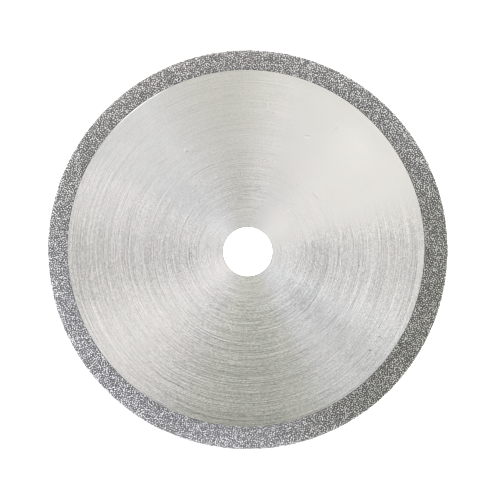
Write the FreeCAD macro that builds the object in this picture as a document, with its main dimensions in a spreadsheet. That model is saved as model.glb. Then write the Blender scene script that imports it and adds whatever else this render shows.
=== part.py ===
import FreeCAD, Part
import Sketcher
import math
import os

# Diamond cutting disc, 80 mm class, for a small bench or hand cutter.
#
# A thin flat disc of ground steel with a round arbor bore, and a band of
# diamond grit plated round its rim. The grit band wraps the rim: it lies on
# both faces and on the edge. Nothing on the disc turns or comes apart.
#
# Frame, in millimetres: the origin is on the bore's axis at the middle of
# the steel's thickness, +Z runs along the bore's axis, and the disc lies flat.
# +Y is the side where the grit band is narrower, with -X.

doc = FreeCAD.newDocument("cutting_disc")

# ---------------------------------------------------------------- dimensions

sheet = doc.addObject("Spreadsheet::Sheet", "Dims")
sheet.Label = "Dims"

rows = [
    ("bore_dia", 10.0, "arbor bore, diameter"),
    ("blank_dia", 80.0, "steel blank, outer diameter under the plating"),
    ("seat_dia", 22.7, "flange seat round the bore, both faces, diameter"),
    ("blank_thick", 0.8, "steel blank, thickness"),
    ("bore_break", 0.1, "bore, edge break on both faces"),
    ("rim_dia", 81.0, "over the grit on the edge"),
    ("rim_thick", 1.4, "over the grit on both faces"),
    ("rim_round", 0.32, "grit band, rounding where the faces meet the edge"),
    ("band_dia", 72.1, "grit band, inner edge, diameter"),
    ("band_left", 0.36, "grit band, inner edge's centre, towards -X"),
    ("band_back", 0.39, "grit band, inner edge's centre, towards +Y"),
    ("band_break", 0.12, "grit band, rounding of its inner edge"),
]

value = {}
for index, (alias, number, note) in enumerate(rows, start=1):
    sheet.set("A%d" % index, note)
    sheet.set("B%d" % index, repr(number))
    sheet.setAlias("B%d" % index, alias)
    value[alias] = number
doc.recompute()


# ------------------------------------------------------------------- helpers

def origin_plane(body, role):
    for feature in body.Origin.OriginFeatures:
        if feature.Role == role:
            return feature
    raise RuntimeError("no origin plane %s in %s" % (role, body.Label))


def new_body(label):
    body = doc.addObject("PartDesign::Body", label)
    body.Label = label
    body.Placement = FreeCAD.Placement()
    return body


def new_sketch(body, name):
    sketch = body.newObject("Sketcher::SketchObject", name)
    sketch.AttachmentSupport = [(origin_plane(body, "XY_Plane"), "")]
    sketch.MapMode = "FlatFace"
    return sketch


def add_circle(sketch, alias, left=None, back=None):
    """A circle whose diameter comes from the sheet, about the origin or about
    a centre set off towards -X and +Y by two more cells."""
    x = -value[left] if left else 0.0
    y = value[back] if back else 0.0
    circle = Part.Circle(FreeCAD.Vector(x, y, 0), FreeCAD.Vector(0, 0, 1),
                         value[alias] / 2.0)
    geo = sketch.addGeometry(circle, False)
    if left:
        number = sketch.addConstraint(Sketcher.Constraint(
            "DistanceX", geo, 3, -1, 1, value[left]))
        sketch.renameConstraint(number, left)
        sketch.setExpression("Constraints." + left, "Dims." + left)
        number = sketch.addConstraint(Sketcher.Constraint(
            "DistanceY", -1, 1, geo, 3, value[back]))
        sketch.renameConstraint(number, back)
        sketch.setExpression("Constraints." + back, "Dims." + back)
    else:
        sketch.addConstraint(Sketcher.Constraint("Coincident", geo, 3, -1, 1))
    number = sketch.addConstraint(Sketcher.Constraint(
        "Diameter", geo, value[alias]))
    sketch.renameConstraint(number, alias)
    sketch.setExpression("Constraints." + alias, "Dims." + alias)
    return geo


def symmetric(feature, sketch, alias):
    """Length from the sheet, half of it on each side of the sketch."""
    feature.Profile = sketch
    feature.SideType = "Symmetric"
    feature.Length = value[alias]
    feature.setExpression("Length", "Dims." + alias)


def circle_edges(shape, diameter):
    """Names of the full circular edges of one diameter."""
    names = []
    for number, edge in enumerate(shape.Edges, start=1):
        curve = edge.Curve
        if isinstance(curve, Part.Circle) and edge.Closed \
                and abs(curve.Radius - diameter / 2.0) < 1e-6:
            names.append("Edge%d" % number)
    return names


def expect(label, got, wanted, slack):
    if abs(got - wanted) > slack:
        raise RuntimeError("%s is %.5f, expected %.5f" % (label, got, wanted))


# --------------------------------------------------------------- steel_blank
# One ring of sheet steel, with a small break on both edges of the bore. Its
# faces are flat from the bore to the rim. The zone round the bore where the
# clamp flanges bear ends in a faint ring on the real disc, so it is drawn
# first, the rest of the sheet is added round it, and the ring is left as a
# line on both faces.

blank = new_body("steel_blank")
seat_sketch = new_sketch(blank, "SeatOutline")
add_circle(seat_sketch, "seat_dia")
add_circle(seat_sketch, "bore_dia")

seat_pad = blank.newObject("PartDesign::Pad", "SeatZone")
symmetric(seat_pad, seat_sketch, "blank_thick")
seat_pad.Refine = False
doc.recompute()

blank_sketch = new_sketch(blank, "BlankOutline")
add_circle(blank_sketch, "blank_dia")
add_circle(blank_sketch, "seat_dia")

blank_pad = blank.newObject("PartDesign::Pad", "BlankSheet")
symmetric(blank_pad, blank_sketch, "blank_thick")
blank_pad.Refine = False
doc.recompute()

ring = math.pi / 4.0 * (value["blank_dia"] ** 2 - value["bore_dia"] ** 2)
expect("blank volume", blank_pad.Shape.Volume, ring * value["blank_thick"],
       1e-3)

bore_edges = circle_edges(blank_pad.Shape, value["bore_dia"])
expect("bore edges", len(bore_edges), 2, 0)
bore_break = blank.newObject("PartDesign::Chamfer", "BoreBreak")
bore_break.Base = (blank_pad, bore_edges)
bore_break.Size = value["bore_break"]
bore_break.setExpression("Size", "Dims.bore_break")
bore_break.Refine = False
doc.recompute()

# Each face of the steel is in two zones, the seat and the rest.
flats = [face for face in bore_break.Shape.Faces
         if isinstance(face.Surface, Part.Plane)
         and abs(abs(face.CenterOfMass.z) - value["blank_thick"] / 2.0) < 1e-6]
expect("flat zones on the steel", len(flats), 4, 0)

# --------------------------------------------------------------- diamond_rim
# The plated band. It is one closed ring of U section: a disc over the grit,
# less its open middle, whose centre lies off the bore's axis as the band was
# masked, less the room that the steel takes up inside it.

rim = new_body("diamond_rim")
rim_sketch = new_sketch(rim, "RimOutline")
add_circle(rim_sketch, "rim_dia")
add_circle(rim_sketch, "band_dia", "band_left", "band_back")

rim_pad = rim.newObject("PartDesign::Pad", "RimBand")
symmetric(rim_pad, rim_sketch, "rim_thick")
doc.recompute()

band = math.pi / 4.0 * (value["rim_dia"] ** 2 - value["band_dia"] ** 2)
expect("rim volume before the slot", rim_pad.Shape.Volume,
       band * value["rim_thick"], 1e-3)

slot_sketch = new_sketch(rim, "SteelRoom")
add_circle(slot_sketch, "blank_dia")
slot = rim.newObject("PartDesign::Pocket", "SteelSlot")
symmetric(slot, slot_sketch, "blank_thick")
doc.recompute()

inside = math.pi / 4.0 * (value["blank_dia"] ** 2 - value["band_dia"] ** 2)
expect("rim volume after the slot", slot.Shape.Volume,
       band * value["rim_thick"] - inside * value["blank_thick"], 1e-3)

outer_edges = circle_edges(slot.Shape, value["rim_dia"])
expect("rim's outer edges", len(outer_edges), 2, 0)
rim_round = rim.newObject("PartDesign::Fillet", "RimRound")
rim_round.Base = (slot, outer_edges)
rim_round.Radius = value["rim_round"]
rim_round.setExpression("Radius", "Dims.rim_round")
doc.recompute()

# The band's inner edge meets each face of the steel in one circle and its own
# face in another; the second is rounded a little.
half = value["rim_thick"] / 2.0
inner_edges = []
for number, edge in enumerate(rim_round.Shape.Edges, start=1):
    curve = edge.Curve
    if isinstance(curve, Part.Circle) and edge.Closed \
            and abs(curve.Radius - value["band_dia"] / 2.0) < 1e-6 \
            and abs(abs(curve.Center.z) - half) < 1e-6:
        inner_edges.append("Edge%d" % number)
expect("band's inner edges", len(inner_edges), 2, 0)
band_break = rim.newObject("PartDesign::Fillet", "BandBreak")
band_break.Base = (rim_round, inner_edges)
band_break.Radius = value["band_break"]
band_break.setExpression("Radius", "Dims.band_break")
doc.recompute()

# --------------------------------------------------------------------- write

for thing in doc.Objects:
    state = set(thing.State)
    if state & {"Invalid", "Error"}:
        raise RuntimeError("%s failed: %s" % (thing.Name, sorted(state)))

pieces = [blank, rim]
for piece in pieces:
    shape = piece.Shape
    if shape.isNull() or not shape.isValid():
        raise RuntimeError("%s has no valid shape" % piece.Label)
    expect(piece.Label + " solids", len(shape.Solids), 1, 0)

os.makedirs("parts", exist_ok=True)
for piece in pieces:
    shape = piece.Shape
    shape.exportStep("parts/%s.step" % piece.Label)
    box = shape.BoundBox
    print("%-12s volume %9.3f mm3  x %.3f..%.3f  y %.3f..%.3f  z %.3f..%.3f"
          % (piece.Label, shape.Volume, box.XMin, box.XMax, box.YMin,
             box.YMax, box.ZMin, box.ZMax))
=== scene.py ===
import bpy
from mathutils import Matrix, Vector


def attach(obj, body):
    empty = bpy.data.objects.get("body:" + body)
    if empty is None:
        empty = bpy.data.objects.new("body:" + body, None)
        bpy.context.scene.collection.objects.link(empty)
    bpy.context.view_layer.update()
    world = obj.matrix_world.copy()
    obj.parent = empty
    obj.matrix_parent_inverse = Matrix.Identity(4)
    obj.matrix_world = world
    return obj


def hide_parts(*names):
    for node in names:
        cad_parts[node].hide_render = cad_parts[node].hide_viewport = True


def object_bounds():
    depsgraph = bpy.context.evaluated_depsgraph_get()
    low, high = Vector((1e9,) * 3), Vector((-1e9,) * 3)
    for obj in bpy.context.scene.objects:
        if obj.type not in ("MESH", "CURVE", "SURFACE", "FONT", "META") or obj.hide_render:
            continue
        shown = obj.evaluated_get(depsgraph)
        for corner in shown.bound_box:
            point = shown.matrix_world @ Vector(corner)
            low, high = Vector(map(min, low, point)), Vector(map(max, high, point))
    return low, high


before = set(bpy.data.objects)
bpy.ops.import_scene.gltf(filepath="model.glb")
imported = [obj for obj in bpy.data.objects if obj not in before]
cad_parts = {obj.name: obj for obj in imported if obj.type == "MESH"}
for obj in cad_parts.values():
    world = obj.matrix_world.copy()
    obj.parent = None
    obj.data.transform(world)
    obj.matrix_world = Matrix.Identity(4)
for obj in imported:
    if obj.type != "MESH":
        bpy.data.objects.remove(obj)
CAD_LOW, CAD_HIGH = [v.copy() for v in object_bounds()]

import math

import bpy
import numpy as np
from mathutils import Matrix, Vector

# Diamond cutting disc, 80 mm class. Metres, +Z up, the origin on the bore's
# axis at the middle of the steel's thickness.

MM = 0.001

# Sizes of the CAD pieces, in millimetres.
STEEL_R = 40.0
STEEL_HALF = 0.4
RIM_R = 40.48            # a hair inside the CAD rim
RIM_HALF = 0.698
RIM_ROUND = 0.32
BAND_R = 36.05
BAND_X, BAND_Y = -0.36, 0.39

scene = bpy.context.scene


# --------------------------------------------------------------------------
# Node helpers
# --------------------------------------------------------------------------

class Tree:
    """A material's node tree, built one socket at a time."""

    def __init__(self, name):
        self.material = bpy.data.materials.new(name)
        self.material.use_nodes = True
        self.nt = self.material.node_tree
        self.nt.nodes.clear()
        self.out = self.nt.nodes.new("ShaderNodeOutputMaterial")
        self.shader = self.nt.nodes.new("ShaderNodeBsdfPrincipled")
        self.nt.links.new(self.shader.outputs[0], self.out.inputs["Surface"])

    def plug(self, socket, value):
        if isinstance(value, bpy.types.NodeSocket):
            self.nt.links.new(value, socket)
        elif value is not None:
            socket.default_value = value

    def set(self, name, value):
        self.plug(self.shader.inputs[name], value)

    def math(self, op, a, b=None, c=None, clamp=False):
        n = self.nt.nodes.new("ShaderNodeMath")
        n.operation = op
        n.use_clamp = clamp
        for socket, value in zip(n.inputs, (a, b, c)):
            self.plug(socket, value)
        return n.outputs[0]

    def vec(self, op, a, b=None, scale=None):
        n = self.nt.nodes.new("ShaderNodeVectorMath")
        n.operation = op
        self.plug(n.inputs[0], a)
        if b is not None:
            self.plug(n.inputs[1], b)
        if scale is not None:
            self.plug(n.inputs["Scale"], scale)
        return n.outputs["Value"] if op in ("LENGTH", "DOT_PRODUCT", "DISTANCE") else n.outputs[0]

    def xyz(self, x=0.0, y=0.0, z=0.0):
        n = self.nt.nodes.new("ShaderNodeCombineXYZ")
        for socket, value in zip(n.inputs, (x, y, z)):
            self.plug(socket, value)
        return n.outputs[0]

    def split(self, v):
        n = self.nt.nodes.new("ShaderNodeSeparateXYZ")
        self.plug(n.inputs[0], v)
        return n.outputs[0], n.outputs[1], n.outputs[2]

    def noise(self, vector, scale=1.0, detail=0.0, rough=0.5, colour=False):
        n = self.nt.nodes.new("ShaderNodeTexNoise")
        n.noise_dimensions = "3D"
        self.plug(n.inputs["Vector"], vector)
        n.inputs["Scale"].default_value = scale
        n.inputs["Detail"].default_value = detail
        n.inputs["Roughness"].default_value = rough
        return n.outputs["Color" if colour else "Fac"]

    def remap(self, value, a, b, c, d, smooth=False):
        n = self.nt.nodes.new("ShaderNodeMapRange")
        n.interpolation_type = "SMOOTHSTEP" if smooth else "LINEAR"
        n.clamp = True
        self.plug(n.inputs["Value"], value)
        for name, v in (("From Min", a), ("From Max", b), ("To Min", c), ("To Max", d)):
            self.plug(n.inputs[name], v)
        return n.outputs["Result"]

    def mix(self, fac, a, b, mode="MIX"):
        n = self.nt.nodes.new("ShaderNodeMix")
        n.data_type = "RGBA"
        n.blend_type = mode
        self.plug(n.inputs["Factor"], fac)
        self.plug(n.inputs[6], a)
        self.plug(n.inputs[7], b)
        return n.outputs[2]

    def ramp(self, value, stops, mode="LINEAR"):
        n = self.nt.nodes.new("ShaderNodeValToRGB")
        n.color_ramp.interpolation = mode
        while len(n.color_ramp.elements) < len(stops):
            n.color_ramp.elements.new(0.5)
        for element, (place, colour) in zip(n.color_ramp.elements, stops):
            element.position = place
            element.color = tuple(colour) + (1.0,)
        self.plug(n.inputs[0], value)
        return n.outputs[0]

    def bump(self, height, distance, strength=1.0):
        n = self.nt.nodes.new("ShaderNodeBump")
        n.inputs["Distance"].default_value = distance
        self.plug(n.inputs["Strength"], strength)
        self.plug(n.inputs["Height"], height)
        return n.outputs[0]

    def object_mm(self):
        n = self.nt.nodes.new("ShaderNodeTexCoord")
        return self.vec("SCALE", n.outputs["Object"], scale=1.0 / MM)

    def attribute(self, name):
        n = self.nt.nodes.new("ShaderNodeAttribute")
        n.attribute_type = "GEOMETRY"
        n.attribute_name = name
        return n.outputs["Fac"]


# --------------------------------------------------------------------------
# Ground steel: circular grinding lines round the bore
# --------------------------------------------------------------------------

def ground_steel():
    t = Tree("ground_steel")
    p = t.object_mm()
    x, y, z = t.split(p)
    flat = t.xyz(x, y, 0.0)
    r = t.vec("LENGTH", flat)
    unit = t.vec("NORMALIZE", flat)
    ux, uy, _ = t.split(unit)
    side = t.math("MULTIPLY", z, 61.0)           # another pattern on each face

    def toward(degrees):
        """1 on the side of the disc at that angle, -1 opposite."""
        a = math.radians(degrees)
        return t.vec("DOT_PRODUCT", unit, (math.cos(a), math.sin(a), 0.0))

    def lines(across, along, detail, rough, shift):
        """Noise drawn out along the circles: across is its pitch per
        millimetre of radius, along how often it changes round the disc."""
        height = t.math("ADD", t.math("MULTIPLY_ADD", r, across, shift), side)
        return t.noise(t.xyz(t.math("MULTIPLY", ux, along),
                             t.math("MULTIPLY", uy, along), height),
                       1.0, detail, rough)

    def scratches(across, along, sharp, shift):
        """Thin single lines: 1 on a line and 0 between them."""
        n = lines(across, along, 0.0, 0.5, shift)
        off = t.math("ABSOLUTE", t.math("SUBTRACT", n, 0.5))
        return t.remap(off, 0.0, 1.0 / sharp, 1.0, 0.0, smooth=True)

    def less(value, share):
        """Centred round zero: value less the mean that it has."""
        return t.math("SUBTRACT", value, share)

    long_lines = lines(6.2, 1.3, 1.0, 0.6, 3.7)
    short_lines = lines(6.0, 6.0, 1.0, 0.6, 17.1)
    fine_lines = lines(7.4, 26.0, 0.0, 0.5, 29.9)
    wide = lines(0.42, 1.7, 1.0, 0.5, 41.3)
    dark_cuts = scratches(2.6, 1.2, 26.0, 53.0)
    light_cuts = scratches(2.1, 1.6, 24.0, 71.0)
    keep = t.remap(lines(0.9, 3.1, 1.0, 0.5, 91.0), 0.42, 0.6, 0.0, 1.0, smooth=True)

    height = t.math("ADD", t.math("MULTIPLY", long_lines, 0.60),
                    t.math("ADD", t.math("MULTIPLY", short_lines, 0.20),
                           t.math("MULTIPLY", fine_lines, 0.20)))
    around = t.math("SUBTRACT", height, 0.5)
    cuts = t.math("ADD", t.math("MULTIPLY", less(dark_cuts, 0.14), -0.32),
                  t.math("MULTIPLY", less(light_cuts, 0.15), 0.11))
    cuts = t.math("MULTIPLY", cuts, t.math("MULTIPLY_ADD", keep, 0.8, 0.2))

    # The lines' contrast is painted to follow the lighting: they are all but washed out towards +X +Y, as under the
    # highlight there, fainter on towards
    # +Y -X and in a narrow sector towards -X -Y, and fainter round the bore.
    least = t.math("MULTIPLY", t.remap(r, 8.5, 12.0, 0.07, 0.24, smooth=True), t.remap(r, 15.0, 22.0, 1.0, 0.22, smooth=True))
    lines_under_highlight = t.remap(toward(44.0), 0.79, 0.93, 1.0, least, smooth=True)
    low = t.remap(r, 10.0, 24.0, 0.62, 0.3, smooth=True)
    fainter_north = t.remap(toward(106.0), 0.2, 0.9, 1.0, low)
    narrow = t.remap(toward(214.0), 0.945, 0.997, 1.0, 0.6, smooth=True)
    narrow = t.math("MULTIPLY", narrow, t.remap(toward(260.0), 0.85, 0.97, 1.0, t.remap(r, 20.0, 32.0, 0.98, 1.2), smooth=True))
    near = t.remap(r, 7.0, 12.0, 0.58, 1.0, smooth=True)
    near = t.math("MULTIPLY", near, t.remap(toward(-22.0), 0.35, 0.85, 1.05, 0.88, smooth=True))
    near = t.math("MULTIPLY", near, t.remap(toward(180.0), 0.85, 0.97, 1.0, 0.86, smooth=True))
    strength = t.math("MULTIPLY", t.math("MULTIPLY", lines_under_highlight, fainter_north), t.math("MULTIPLY", narrow, near))

    # Single rings that stand out towards -Y: where the flange seat ends, and
    # one further out.
    south = t.remap(toward(-88.0), 0.3, 0.95, 0.0, 1.0, smooth=True)
    broken = t.remap(lines(0.3, 5.0, 1.0, 0.5, 7.7), 0.4, 0.55, 0.35, 1.0, smooth=True)
    rings = None
    for radius, half, gain in ((11.35, 0.2, 1.0), (16.35, 0.18, 0.8), (24.9, 0.14, -0.6), (31.6, 0.14, -0.5)):
        ring = t.remap(t.math("ABSOLUTE", t.math("SUBTRACT", r, radius)), 0.0, half, gain, 0.0, smooth=True)
        rings = ring if rings is None else t.math("ADD", rings, ring)
    rings = t.math("MULTIPLY", rings, t.math("MULTIPLY", south, broken))

    # Faint cloudiness of the ground surface, and its fine grain.
    cloud = t.math("SUBTRACT", t.noise(p, 0.16, 2.0, 0.5), 0.5)
    grain = t.math("SUBTRACT", t.noise(p, 4.2, 0.0, 0.5), 0.5)

    shade = t.math("ADD", t.math("MULTIPLY", around, 1.42), t.math("ADD", cuts, t.math("MULTIPLY", grain, 0.74)))
    shade = t.math("MULTIPLY", shade, strength)
    shade = t.math("ADD", shade, t.math("MULTIPLY", rings, 0.11))
    shade = t.math("ADD", shade, t.math("MULTIPLY", cloud, 0.03))
    # Painted reflections: the bright and dull fans of the grinding's reflections are painted in as brighter or duller
    # sectors outside the flange seat, and as ring tones, brightest round the bore.
    painted_fans = None
    for degrees, spread, gain in ((140, 15, -0.08), (187, 20, -0.085), (320, 12, -0.07), (356, 15, -0.05),
                                  (81, 14, 0.03), (48, 22, -0.03), (225, 18, 0.03), (304, 12, 0.04),
                                  (331, 11, 0.06), (16, 14, 0.035), (273, 13, -0.04), (97, 12, -0.024),
                                  (79, 8, 0.018), (173, 12, 0.024)):
        painted_fan = t.remap(toward(degrees), math.cos(math.radians(spread)), 1.0, 0.0, gain, smooth=True)
        painted_fans = painted_fan if painted_fans is None else t.math("ADD", painted_fans, painted_fan)
    painted_fans = t.math("MULTIPLY", painted_fans, t.remap(r, 9.0, 12.0, 0.0, 1.0, smooth=True))
    # painted reflections: fans of brighter or duller tone, each limited to a ring
    for degrees, spread, radius, half, gain in ((325, 50, 14.6, 3.4, -0.045), (8, 14, 14.6, 3.4, -0.04),
                                                (189, 18, 22.5, 3.5, 0.04), (189, 14, 33.5, 5.0, -0.04),
                                                (246, 16, 20.5, 4.5, -0.05), (140, 14, 34.5, 4.0, -0.03),
                                                (47, 16, 34.5, 4.0, -0.04), (284, 14, 34.5, 4.0, 0.04),
                                                (355, 12, 36.0, 3.0, 0.05), (0, 8, 36.5, 3.0, 0.05),
                                                (290, 12, 31.0, 8.0, 0.035), (305, 13, 10.6, 2.4, 0.05),
                                                (260, 12, 12.0, 4.0, 0.035)):
        painted_fan = t.remap(toward(degrees), math.cos(math.radians(spread)), 1.0, 0.0, gain, smooth=True)
        ring = t.remap(t.math("ABSOLUTE", t.math("SUBTRACT", r, radius)), 0.0, half, 1.0, 0.0, smooth=True)
        painted_fans = t.math("ADD", painted_fans, t.math("MULTIPLY", painted_fan, ring))
    # painted tone by radius: brighter round the bore, and a little brighter again beyond 22 mm
    painted_inward_tone = t.math("ADD", t.remap(r, 7.0, 12.0, t.math("MULTIPLY_ADD", lines_under_highlight, 0.05, 0.005), -0.012, smooth=True),
                    t.remap(r, 17.0, 22.0, 0.0, 0.025, smooth=True))
    shade = t.math("ADD", shade, t.math("ADD", painted_fans, painted_inward_tone))

    # On the top face only: a few nicks and short scratches from handling, the light strokes beside the dark ones being
    # painted highlights on their edges, and a painted highlight line along the band's inner edge towards 127 degrees.
    def mark(x0, y0, x1, y1, width, gain):
        """A short stroke between two points, soft to its edge."""
        run = (x1 - x0) ** 2 + (y1 - y0) ** 2
        arm = t.vec("SUBTRACT", flat, (x0, y0, 0.0))
        if run > 0.0:
            share = t.math("MULTIPLY", t.vec("DOT_PRODUCT", arm, (x1 - x0, y1 - y0, 0.0)), 1.0 / run, clamp=True)
            along = t.vec("SCALE", (x1 - x0, y1 - y0, 0.0), scale=share)
            arm = t.vec("SUBTRACT", arm, along)
        return t.remap(t.vec("LENGTH", arm), 0.3 * width, 1.4 * width, gain, 0.0, smooth=True)

    nicks_and_highlights = None
    # dark nicks and scratches; the light strokes beside dark ones are painted highlights on their edges
    for stroke in ((13.1, 11.8, 14.1, 10.7, 0.13, -0.14), (13.5, 12.1, 14.4, 11.1, 0.12, 0.08),
                   (11.6, 23.4, 12.4, 23.3, 0.12, -0.18), (11.6, 23.0, 12.4, 22.9, 0.12, 0.12),
                   (17.8, 24.9, 17.8, 24.9, 0.22, -0.11), (17.2, 24.3, 17.6, 24.7, 0.25, -0.04),
                   (-12.2, 20.2, -12.2, 20.2, 0.21, -0.36), (-12.6, 20.7, -12.6, 20.7, 0.18, 0.25),
                   (4.0, 29.8, 4.0, 28.4, 0.12, 0.09), (3.6, 29.8, 3.6, 29.2, 0.12, -0.12),
                   (3.7, 28.2, 4.2, 28.2, 0.12, -0.12), (5.1, 27.9, 5.1, 27.9, 0.2, -0.26),
                   (24.8, -20.0, 24.9, -20.0, 0.18, -0.65), (26.6, -17.2, 27.5, -17.8, 0.13, -0.24),
                   (-0.5, -25.9, 0.2, -26.0, 0.14, -0.3), (-3.9, -14.6, -3.3, -15.8, 0.12, 0.28)):
        one = mark(*stroke)
        nicks_and_highlights = one if nicks_and_highlights is None else t.math("ADD", nicks_and_highlights, one)
    inside = t.math("SUBTRACT", BAND_R, t.vec("LENGTH", t.vec("SUBTRACT", flat, (BAND_X, BAND_Y, 0.0))))
    # painted highlight along the band's inner edge
    painted_edge_highlight = t.remap(t.math("ABSOLUTE", t.math("SUBTRACT", inside, 0.14)), 0.04, 0.2, 0.5, 0.0, smooth=True)
    where = t.remap(toward(127.0), math.cos(math.radians(12.0)), math.cos(math.radians(5.0)), 0.0, 1.0, smooth=True)
    nicks_and_highlights = t.math("ADD", nicks_and_highlights, t.math("MULTIPLY", painted_edge_highlight, where))
    shade = t.math("ADD", shade, t.math("MULTIPLY", nicks_and_highlights, t.remap(z, 0.0, 0.1, 0.0, 1.0)))
    level = t.math("ADD", shade, 0.994)
    tint = t.mix(t.remap(t.noise(p, 0.22, 1.0, 0.5), 0.35, 0.65, 0.0, 1.0),
                 (0.613, 0.601, 0.586, 1.0), (0.605, 0.603, 0.586, 1.0))
    # painted reflection tints: cooler in two opposite sectors, as the bluish lamps' reflections, with a trace of straw
    # colour towards -Y and less towards +Y, partly a stain and partly the painted colour of the dull reflection there
    painted_cool_tint = t.math("MAXIMUM", t.remap(toward(136.0), 0.94, 0.99, 0.0, 1.0, smooth=True),
                  t.remap(toward(317.0), 0.92, 0.98, 0.0, 1.0, smooth=True))
    tint = t.mix(painted_cool_tint, tint, t.vec("MULTIPLY", tint, (0.99, 1.0, 1.02)))
    painted_warm_tint = t.remap(toward(96.0), 0.95, 0.995, 0.0, 1.0, smooth=True)
    tint = t.mix(painted_warm_tint, tint, t.vec("MULTIPLY", tint, (1.0, 1.0, 0.972)))
    # painted shade: towards -Y the straw tint is also darkened outward, standing in for the dull reflection there
    straw_and_painted_shade = t.remap(toward(-88.0), 0.86, 0.99, 0.0, 1.0, smooth=True)
    stain_and_painted_shade = t.vec("SCALE", t.vec("MULTIPLY", tint, (0.982, 1.0, 0.94)),
                  scale=t.remap(r, 9.0, 35.0, 1.04, 0.92))
    tint = t.mix(straw_and_painted_shade, tint, stain_and_painted_shade)
    # and a trace warmer outwards, and towards +X +Y, where it is a painted tint of the highlight there
    fade = t.math("MULTIPLY", t.remap(r, 11.0, 31.0, 1.009, 0.988),
                  t.remap(toward(28.0), 0.86, 0.97, 1.0, 0.988, smooth=True))
    tint = t.vec("MULTIPLY", tint, t.xyz(1.0, 1.0, fade))
    # painted shade: the bore's broken edge and wall are darker than the faces
    level = t.math("MULTIPLY", level, t.remap(r, 5.0, 5.12, 0.42, 1.0))
    t.set("Base Color", t.vec("SCALE", tint, scale=level))
    t.set("Metallic", 1.0)
    t.set("Roughness", t.math("ADD", t.math("MULTIPLY", t.math("SUBTRACT", wide, 0.5), 0.04), 0.38))
    t.set("Anisotropic", 0.85)
    tilt = t.math("MULTIPLY", t.math("SUBTRACT", short_lines, 0.5), 0.06)
    tangent = t.vec("ADD", t.xyz(t.math("MULTIPLY", uy, -1.0), ux, 0.0), t.vec("SCALE", unit, scale=tilt))
    t.set("Tangent", t.vec("NORMALIZE", tangent))
    t.set("Anisotropic Rotation", ROTATION)
    t.set("Normal", t.bump(t.math("ADD", height, cuts), 0.002 * MM, strength))
    return t.material


ROTATION = 0.25

# --------------------------------------------------------------------------
# The grit's two finishes
# --------------------------------------------------------------------------

def coat_and_painted_light(t, p):
    """The plating's tone, with painted light and shade: darker towards +X -Y, and lighter
    towards -X -Y, where more light falls on it."""
    x, y, z = t.split(p)
    unit = t.vec("NORMALIZE", t.xyz(x, y, 0.0))

    def painted_light_zone(degrees, low, high, gain):
        a = math.radians(degrees)
        to = t.vec("DOT_PRODUCT", unit, (math.cos(a), math.sin(a), 0.0))
        return t.remap(to, low, high, 0.0, gain, smooth=True)

    patches = t.math("MULTIPLY", t.math("SUBTRACT", t.noise(p, 0.11, 1.0, 0.5), 0.5), 0.09)
    level = t.math("ADD", 1.0, patches)
    # painted light and shade: lighter on the sides where more light falls, darker towards +X -Y
    for degrees, low, high, gain in ((335, 0.45, 0.97, -0.2), (228, 0.2, 0.9, 0.16), (120, 0.3, 0.9, 0.05),
                                     (280, 0.9, 1.0, 0.045), (212, 0.9, 1.0, 0.035), (90, 0.88, 0.98, -0.02)):
        level = t.math("ADD", level, painted_light_zone(degrees, low, high, gain))
    # it is duller by its inner edge and lighter by its outer one, less so
    # towards +X -Y
    out = t.vec("LENGTH", t.xyz(x, y, 0.0))
    into = t.math("SUBTRACT", t.vec("LENGTH", t.xyz(t.math("SUBTRACT", x, BAND_X), t.math("SUBTRACT", y, BAND_Y), 0.0)),
                  BAND_R)
    across = t.math("DIVIDE", into, t.math("ADD", into, t.math("SUBTRACT", 40.45, out)))
    a = math.radians(165.0)
    share = t.remap(t.vec("DOT_PRODUCT", unit, (math.cos(a), math.sin(a), 0.0)), -0.9, -0.3, 0.25, 1.0, smooth=True)
    level = t.math("ADD", level, t.math("MULTIPLY", share, t.remap(across, 0.15, 1.0, -0.07, 0.12)))
    level = t.math("ADD", level, t.remap(into, 0.1, 0.6, -0.07, 0.0))
    # and a painted light tint: a trace warmer towards +X and +Y, cooler towards -X -Y, where the cooler light falls
    red = t.math("ADD", 1.0, painted_light_zone(102, 0.7, 0.97, 0.022))
    blue = t.math("ADD", t.math("ADD", 0.982, painted_light_zone(340, 0.5, 0.97, -0.06)), painted_light_zone(228, 0.3, 0.9, 0.045))
    # and darker on the outermost rounding of the edge
    level = t.math("MULTIPLY", level, t.remap(out, 40.25, 40.45, 1.0, 0.68))
    return t.vec("SCALE", t.xyz(red, 1.0, blue), scale=level)


def nickel_bond():
    t = Tree("nickel_bond")
    p = t.object_mm()
    lumps = t.noise(p, 3.1, 3.0, 0.6)
    specks = t.noise(p, 11.0, 2.0, 0.6)
    tone = t.math("ADD", t.math("MULTIPLY", lumps, 0.6), t.math("MULTIPLY", specks, 0.4))
    colour = t.ramp(tone, [(0.32, (0.10, 0.10, 0.101)), (0.5, (0.18, 0.18, 0.182)),
                           (0.68, (0.30, 0.30, 0.303))])
    t.set("Base Color", t.vec("MULTIPLY", colour, coat_and_painted_light(t, p)))
    t.set("Metallic", 0.5)
    t.set("Specular IOR Level", 0.2)
    t.set("Roughness", t.remap(specks, 0.3, 0.7, 0.5, 0.7))
    t.set("Normal", t.bump(tone, 0.05 * MM, 0.8))
    return t.material


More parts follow.
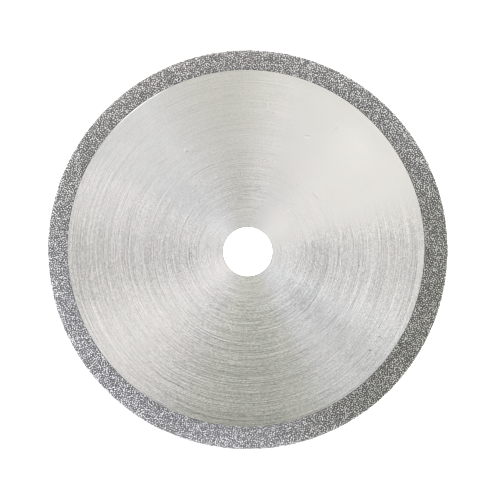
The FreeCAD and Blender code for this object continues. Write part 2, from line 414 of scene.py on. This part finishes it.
def coated_grit():
    t = Tree("coated_grit")
    p = t.object_mm()
    tone = t.attribute("tone")
    specks = t.noise(p, 9.0, 2.0, 0.6)
    mixed = t.math("ADD", tone, t.math("MULTIPLY", t.math("SUBTRACT", specks, 0.5), 0.25))
    colour = t.ramp(mixed, [(0.0, (0.36, 0.36, 0.364)), (0.35, (0.62, 0.62, 0.625)),
                            (0.65, (0.77, 0.77, 0.775)), (1.0, (0.82, 0.82, 0.825))])
    t.set("Base Color", t.vec("MULTIPLY", colour, coat_and_painted_light(t, p)))
    t.set("Metallic", 0.25)
    t.set("Specular IOR Level", 0.15)
    t.set("Roughness", t.remap(specks, 0.3, 0.7, 0.5, 0.7))
    t.set("Normal", t.bump(specks, 0.012 * MM, 0.6))
    return t.material


# --------------------------------------------------------------------------
# Geometry of the plated rim
# --------------------------------------------------------------------------

def band_inner(angle):
    """Distance from the bore's axis to the band's inner edge, whose circle
    is set off from that axis."""
    along = BAND_X * np.cos(angle) + BAND_Y * np.sin(angle)
    off = BAND_X ** 2 + BAND_Y ** 2
    return along + np.sqrt(along ** 2 - off + BAND_R ** 2)


def new_object(name, vertices, faces, material, smooth=False, tone=None):
    mesh = bpy.data.meshes.new(name)
    vertices = np.asarray(vertices, dtype=np.float32) * MM
    faces = np.asarray(faces, dtype=np.int32)
    count, sides = faces.shape
    mesh.vertices.add(len(vertices))
    mesh.vertices.foreach_set("co", vertices.ravel())
    mesh.loops.add(faces.size)
    mesh.loops.foreach_set("vertex_index", faces.ravel())
    mesh.polygons.add(count)
    mesh.polygons.foreach_set("loop_start", np.arange(0, faces.size, sides, dtype=np.int32))
    mesh.update(calc_edges=True)
    mesh.validate()
    if smooth:
        mesh.shade_smooth()
    else:
        mesh.shade_flat()
    if tone is not None:
        layer = mesh.attributes.new("tone", "FLOAT", "FACE")
        layer.data.foreach_set("value", np.asarray(tone, dtype=np.float32))
    mesh.materials.append(material)
    obj = bpy.data.objects.new(name, mesh)
    scene.collection.objects.link(obj)
    return obj


def smooth_noise(rng, shape, size):
    """Periodic random field round the rim: shape is (around, across) and size
    the number of cells that one lump spans."""
    field = rng.normal(size=shape)
    freq_a = np.fft.fftfreq(shape[0])[:, None]
    freq_b = np.fft.fftfreq(shape[1])[None, :]
    keep = np.exp(-((freq_a * size[0]) ** 2 + (freq_b * size[1]) ** 2) * 2.0)
    field = np.fft.ifft2(np.fft.fft2(field) * keep).real
    return field / field.std()


def make_bond(material):
    """Closed ring of U section round the steel's rim, a little under the
    grains' tips, its outer skin uneven as plating over grit is."""
    around = 1200
    angle = np.linspace(0.0, 2.0 * np.pi, around, endpoint=False)
    inner = band_inner(angle)
    top = 0.50                                  # plating's level between grains
    edge = RIM_R - 0.12
    corner = 0.2
    section = []                                 # (radius or None + share, z, skin)
    for k in range(15):                          # top, from the inner edge out
        share = k / 14.0
        section.append(("top", share, top, 1))
    for k in range(1, 5):                        # rounding at the top
        a = math.radians(90 - 22.5 * k)
        section.append(("r", edge - corner + corner * math.cos(a), top - corner + corner * math.sin(a), 1))
    for k in range(1, 5):                        # edge
        section.append(("r", edge, (top - corner) * (1 - 2 * k / 5.0), 1))
    for k in range(0, 5):                        # rounding at the bottom
        a = math.radians(-22.5 * k)
        section.append(("r", edge - corner + corner * math.cos(a), -(top - corner) + corner * math.sin(a), 1))
    for k in range(13, -1, -1):
        share = k / 14.0
        section.append(("top", share, -top, 1))
    section.append(("in", 0.0, -STEEL_HALF, 0))
    for radius, z in ((38.0, -STEEL_HALF), (STEEL_R, -STEEL_HALF), (STEEL_R, STEEL_HALF), (38.0, STEEL_HALF)):
        section.append(("r", radius, z, 0))
    section.append(("in", 0.0, STEEL_HALF, 0))

    rng = np.random.default_rng(4021)
    n = len(section)
    field = smooth_noise(rng, (around, n), (3.0, 2.2)) * 0.022
    rows = np.zeros((around, n, 3))
    for j, (kind, a, z, skin) in enumerate(section):
        lift = field[:, j] * skin
        if kind == "top":
            radius = inner + 0.035 + (edge - corner - inner - 0.035) * a
            height = z + np.sign(z) * lift
            if a == 0.0:
                height = np.full(around, np.sign(z) * (top - 0.045))
            elif a < 0.08:
                height = z + np.sign(z) * lift * 0.5
        elif kind == "in":
            radius = inner + 0.0
            height = np.full(around, z)
        else:
            out = np.array([a - (edge - corner), (abs(z) - (top - corner)) * np.sign(z)])
            out = np.maximum(np.abs(out), 0.0) * np.sign(out) if skin else np.zeros(2)
            if skin and abs(z) <= top - corner + 1e-9:
                out = np.array([1.0, 0.0])
            size = np.linalg.norm(out)
            out = out / size if size else out
            radius = a + lift * out[0]
            height = z + lift * out[1]
        rows[:, j, 0] = radius * np.cos(angle)
        rows[:, j, 1] = radius * np.sin(angle)
        rows[:, j, 2] = height
    vertices = rows.reshape(-1, 3)
    i = np.arange(around)[:, None]
    j = np.arange(n)[None, :]
    a = i * n + j
    b = ((i + 1) % around) * n + j
    c = ((i + 1) % around) * n + (j + 1) % n
    d = i * n + (j + 1) % n
    faces = np.stack([a, b, c, d], axis=-1).reshape(-1, 4)
    return new_object("rim_bond", vertices, faces, material, smooth=True)


def grain_shapes(rng, count):
    """Blocky crystals: cubes with their corners cut, and irregular hulls.
    Each is (vertices on about a unit sphere, triangles that face out)."""
    import bmesh
    shapes = []
    for k in range(count):
        if k % 2 == 0:
            points = []
            for signs in ((1, 1, 0), (1, 0, 1), (0, 1, 1)):
                for sa in (-1, 1):
                    for sb in (-1, 1):
                        s = iter((sa, sb))
                        points.append([v * next(s) if v else 0.0 for v in signs])
            points = np.array(points, dtype=float) / math.sqrt(2.0)
            points += rng.normal(scale=0.09, size=points.shape)
        else:
            points = rng.normal(size=(11, 3))
            points /= np.linalg.norm(points, axis=1)[:, None]
            for _ in range(12):                  # spread them over the sphere
                gap = points[:, None, :] - points[None, :, :]
                dist = np.linalg.norm(gap, axis=2) + np.eye(len(points)) * 9
                points += (gap / dist[..., None] ** 3).sum(axis=1) * 0.03
                points /= np.linalg.norm(points, axis=1)[:, None]
            points *= rng.uniform(0.86, 1.08, size=(len(points), 1))
        bm = bmesh.new()
        for p in points:
            bm.verts.new(Vector(p))
        hull = bmesh.ops.convex_hull(bm, input=bm.verts)
        loose = [v for v in bm.verts if not v.link_faces]
        bmesh.ops.delete(bm, geom=loose, context="VERTS")
        bmesh.ops.triangulate(bm, faces=bm.faces)
        bmesh.ops.recalc_face_normals(bm, faces=bm.faces)
        bm.verts.index_update()
        vertices = np.array([v.co[:] for v in bm.verts])
        triangles = np.array([[v.index for v in f.verts] for f in bm.faces])
        # keep the triangles facing out
        centre = vertices.mean(axis=0)
        a, b, c = (vertices[triangles[:, m]] for m in range(3))
        painted_inward_tone = np.einsum("ij,ij->i", np.cross(b - a, c - a), (a + b + c) / 3 - centre) < 0
        triangles[painted_inward_tone] = triangles[painted_inward_tone][:, ::-1]
        bm.free()
        shapes.append((vertices, triangles))
    return shapes


def scatter(rng, least):
    """Places for grains over the whole skin of the rim, no two nearer than
    least: rows of x, y, z and the skin's outward direction there."""
    straight = RIM_R - RIM_ROUND
    spots, cells = [], {}
    size = least
    low = BAND_R - 0.65
    top_area = math.pi * (straight ** 2 - low ** 2)
    turn_area = 2 * math.pi * RIM_R * RIM_ROUND * math.pi / 2
    wall_area = 2 * math.pi * RIM_R * (RIM_HALF - RIM_ROUND) * 2
    total = 2 * top_area + 2 * turn_area + wall_area
    darts = int(total / least ** 2 * 14)
    pick = rng.random(darts) * total
    angles = rng.random(darts) * 2 * math.pi
    u = rng.random(darts)
    inner = band_inner(angles) + 0.11 + rng.normal(scale=0.06, size=darts)
    for k in range(darts):
        a = angles[k]
        ca, sa = math.cos(a), math.sin(a)
        s = pick[k]
        if s < 2 * top_area:
            radius = math.sqrt(low ** 2 + u[k] * (straight ** 2 - low ** 2))
            if radius < inner[k]:
                continue
            side = 1.0 if s < top_area else -1.0
            r, z, nr, nz = radius, side * RIM_HALF, 0.0, side
        elif s < 2 * top_area + 2 * turn_area:
            side = 1.0 if s < 2 * top_area + turn_area else -1.0
            b = u[k] * math.pi / 2
            nr, nz = math.cos(b), side * math.sin(b)
            r = straight + RIM_ROUND * nr
            z = side * (RIM_HALF - RIM_ROUND) + RIM_ROUND * nz
        else:
            r, z, nr, nz = RIM_R, (2 * u[k] - 1) * (RIM_HALF - RIM_ROUND), 1.0, 0.0
        px, py = r * ca, r * sa
        ix, iy, iz = int(px // size), int(py // size), int(z // size)
        free = True
        for dx in (-1, 0, 1):
            for dy in (-1, 0, 1):
                for dz in (-1, 0, 1):
                    for q in cells.get((ix + dx, iy + dy, iz + dz), ()):
                        if (q[0] - px) ** 2 + (q[1] - py) ** 2 + (q[2] - z) ** 2 < least * least:
                            free = False
                            break
                    if not free:
                        break
                if not free:
                    break
            if not free:
                break
        if free:
            cells.setdefault((ix, iy, iz), []).append((px, py, z))
            spots.append((px, py, z, nr * ca, nr * sa, nz))
    return np.array(spots)


def make_grit(material):
    rng = np.random.default_rng(80310)
    shapes = grain_shapes(rng, 40)
    spots = scatter(rng, 0.325)
    place, normal = spots[:, :3], spots[:, 3:]
    count = len(spots)

    # Random turns, as unit quaternions.
    q = rng.normal(size=(count, 4))
    q /= np.linalg.norm(q, axis=1)[:, None]
    w, x, y, z = q.T
    turn = np.stack([
        np.stack([1 - 2 * (y * y + z * z), 2 * (x * y - z * w), 2 * (x * z + y * w)], -1),
        np.stack([2 * (x * y + z * w), 1 - 2 * (x * x + z * z), 2 * (y * z - x * w)], -1),
        np.stack([2 * (x * z - y * w), 2 * (y * z + x * w), 1 - 2 * (x * x + y * y)], -1)], 1)
    width = rng.uniform(0.14, 0.205, size=count)         # half widths
    stretch = rng.uniform(0.75, 1.3, size=(count, 3))
    sunk = rng.uniform(0.0, 1.0, size=count) * np.where(np.abs(normal[:, 2]) < 0.7, 0.03, 0.07)
    grain_tone = rng.beta(1.1, 1.1, size=count)


    groups = {"rim_grit_top": [], "rim_grit_bottom": [], "rim_grit_edge": []}
    for k in range(count):
        if abs(normal[k, 2]) < 0.7:
            groups["rim_grit_edge"].append(k)
        else:
            groups["rim_grit_top" if normal[k, 2] > 0 else "rim_grit_bottom"].append(k)

    made = []
    for name, members in groups.items():
        vertices, faces, tones, base = [], [], [], 0
        for k in members:
            shape, triangles = shapes[k % len(shapes)]
            pts = (shape * stretch[k]) @ turn[k].T * width[k]
            reach = (pts @ normal[k]).max()
            # flatten along the skin's direction so that the grain's height
            # stays near the plating's depth
            n = normal[k]
            pts = pts - np.outer(pts @ n, n) * (1 - min(1.0, 0.15 / reach))
            reach = (pts @ n).max()
            pts = pts + place[k] - n * (reach + sunk[k])
            radial = np.hypot(pts[:, 0], pts[:, 1])
            over = np.maximum(radial / RIM_R, 1.0)
            pts[:, 0] /= over
            pts[:, 1] /= over
            pts[:, 2] = np.clip(pts[:, 2], -RIM_HALF, RIM_HALF)
            vertices.append(pts)
            faces.append(triangles + base)
            base += len(pts)
            facet = rng.normal(scale=0.08, size=len(triangles))
            tones.append(np.clip(grain_tone[k] + facet, 0.0, 1.0))
        obj = new_object(name, np.concatenate(vertices), np.concatenate(faces),
                         material, tone=np.concatenate(tones))
        made.append(obj)
        print(name, len(members), "grains,", len(obj.data.polygons), "triangles")
    return made


# --------------------------------------------------------------------------
# Put it together
# --------------------------------------------------------------------------

steel = bpy.data.objects["steel_blank"]
steel_material = ground_steel()
for slot in steel.material_slots:
    slot.material = steel_material

bond = make_bond(nickel_bond())
grit = make_grit(coated_grit())
for piece in [bond] + grit:
    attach(piece, "root")
    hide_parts("diamond_rim")

# --------------------------------------------------------------------------
# Floor, light and camera
# --------------------------------------------------------------------------

floor_tree = Tree("floor_white")
floor_tree.set("Base Color", (0.93, 0.93, 0.93, 1.0))
floor_tree.set("Roughness", 0.9)
floor_tree.set("Specular IOR Level", 0.1)
floor_tree.set("Emission Color", (1.0, 1.0, 1.0, 1.0))
floor_tree.set("Emission Strength", 1.1)
floor_mesh = bpy.data.meshes.new("floor")
half = 4.0
floor_mesh.from_pydata([(-half, -half, 0), (half, -half, 0), (half, half, 0), (-half, half, 0)], [], [(0, 1, 2, 3)])
floor_mesh.materials.append(floor_tree.material)
floor = bpy.data.objects.new("floor", floor_mesh)
floor.location = (0.0, 0.0, -0.0007)
scene.collection.objects.link(floor)

# The studio round the disc: white at the horizon, pale walls above it, and a
# dim ceiling.
HORIZON, WALLS, CEILING = 1.0, 0.78, 0.133
world = bpy.data.worlds.new("studio")
world.use_nodes = True
nodes, links = world.node_tree.nodes, world.node_tree.links
direction = nodes.new("ShaderNodeTexCoord")
parts = nodes.new("ShaderNodeSeparateXYZ")
links.new(direction.outputs["Generated"], parts.inputs[0])


def fade(name, low, high, start, end):
    """A smooth change between two heights above the horizon, in degrees."""
    n = nodes.new("ShaderNodeMapRange")
    n.name = name
    n.interpolation_type = "SMOOTHSTEP"
    n.inputs["From Min"].default_value = math.sin(math.radians(low))
    n.inputs["From Max"].default_value = math.sin(math.radians(high))
    n.inputs["To Min"].default_value = start
    n.inputs["To Max"].default_value = end
    links.new(parts.outputs[2], n.inputs["Value"])
    return n


walls = fade("walls", 10, 20, HORIZON, WALLS)
ceiling = fade("ceiling", 40, 58, 0.0, 1.0)
level = nodes.new("ShaderNodeMix")
level.name = "level"
level.data_type = "FLOAT"
level.inputs[3].default_value = CEILING
links.new(ceiling.outputs["Result"], level.inputs["Factor"])
links.new(walls.outputs["Result"], level.inputs[2])
links.new(level.outputs[0], nodes["Background"].inputs["Strength"])
nodes["Background"].inputs["Color"].default_value = (1.0, 1.0, 1.0, 1.0)
scene.world = world


def soft_box(name, azimuth, elevation, distance, width, power, colour=(1.0, 1.0, 1.0)):
    """A square area light that looks at the disc's middle. Azimuth is counted
    from +X towards +Y."""
    a, e = math.radians(azimuth), math.radians(elevation)
    place = Vector((math.cos(a) * math.cos(e), math.sin(a) * math.cos(e), math.sin(e))) * distance
    light = bpy.data.lights.new(name, "AREA")
    light.shape = "SQUARE"
    light.size = width
    light.energy = power
    light.color = colour
    lamp = bpy.data.objects.new(name, light)
    lamp.location = place
    lamp.rotation_mode = "QUATERNION"
    lamp.rotation_quaternion = (-place).to_track_quat("-Z", "Y")
    lamp.visible_camera = False
    scene.collection.objects.link(lamp)
    return lamp


for number, (azimuth, elevation, power, colour) in enumerate((
        (30, 80, 0.083, (1.0, 0.993, 0.985)),
        (150, 65, 0.049, (0.985, 0.965, 1.0)),
        (120, 65, 0.044, (0.99, 1.0, 0.96)),
        (210, 65, 0.071, (1.0, 0.98, 0.985)),
        (60, 65, 0.069, (1.0, 0.993, 0.975)),
        (330, 65, 0.056, (0.95, 0.965, 1.0)),
        (30, 45, 0.070, (1.0, 0.993, 0.985)),
        (150, 45, 0.082, (0.985, 0.965, 1.0)),
        (210, 25, 0.084, (1.0, 0.98, 0.985)),
        (300, 25, 0.029, (1.0, 1.0, 1.0))), start=1):
    soft_box("box_%d" % number, azimuth, elevation, 0.30, 0.13, power, colour)

camera_data = bpy.data.cameras.new("camera")
camera = bpy.data.objects.new("camera", camera_data)
scene.collection.objects.link(camera)
camera_data.sensor_width = 36.0
DISTANCE = 0.1816
TILT = math.radians(2.6)
camera_data.lens = 64.6
camera_data.clip_start = 0.01
camera_data.clip_end = 20.0
aim = Vector((0.447 * MM, 0.352 * MM, 0.0))
camera.location = aim + Vector((0.0, math.sin(TILT), math.cos(TILT))) * DISTANCE
camera.rotation_euler = (-TILT, 0.0, 0.0)
scene.camera = camera

scene.view_settings.view_transform = "Standard"
scene.view_settings.look = "None"
scene.cycles.use_denoising = True
scene.cycles.denoiser = "OPENIMAGEDENOISE"
scene.cycles.denoising_input_passes = "RGB_ALBEDO_NORMAL"
scene.cycles.denoising_prefilter = "ACCURATE"
scene.cycles.max_bounces = 8
scene.cycles.filter_width = 1.1
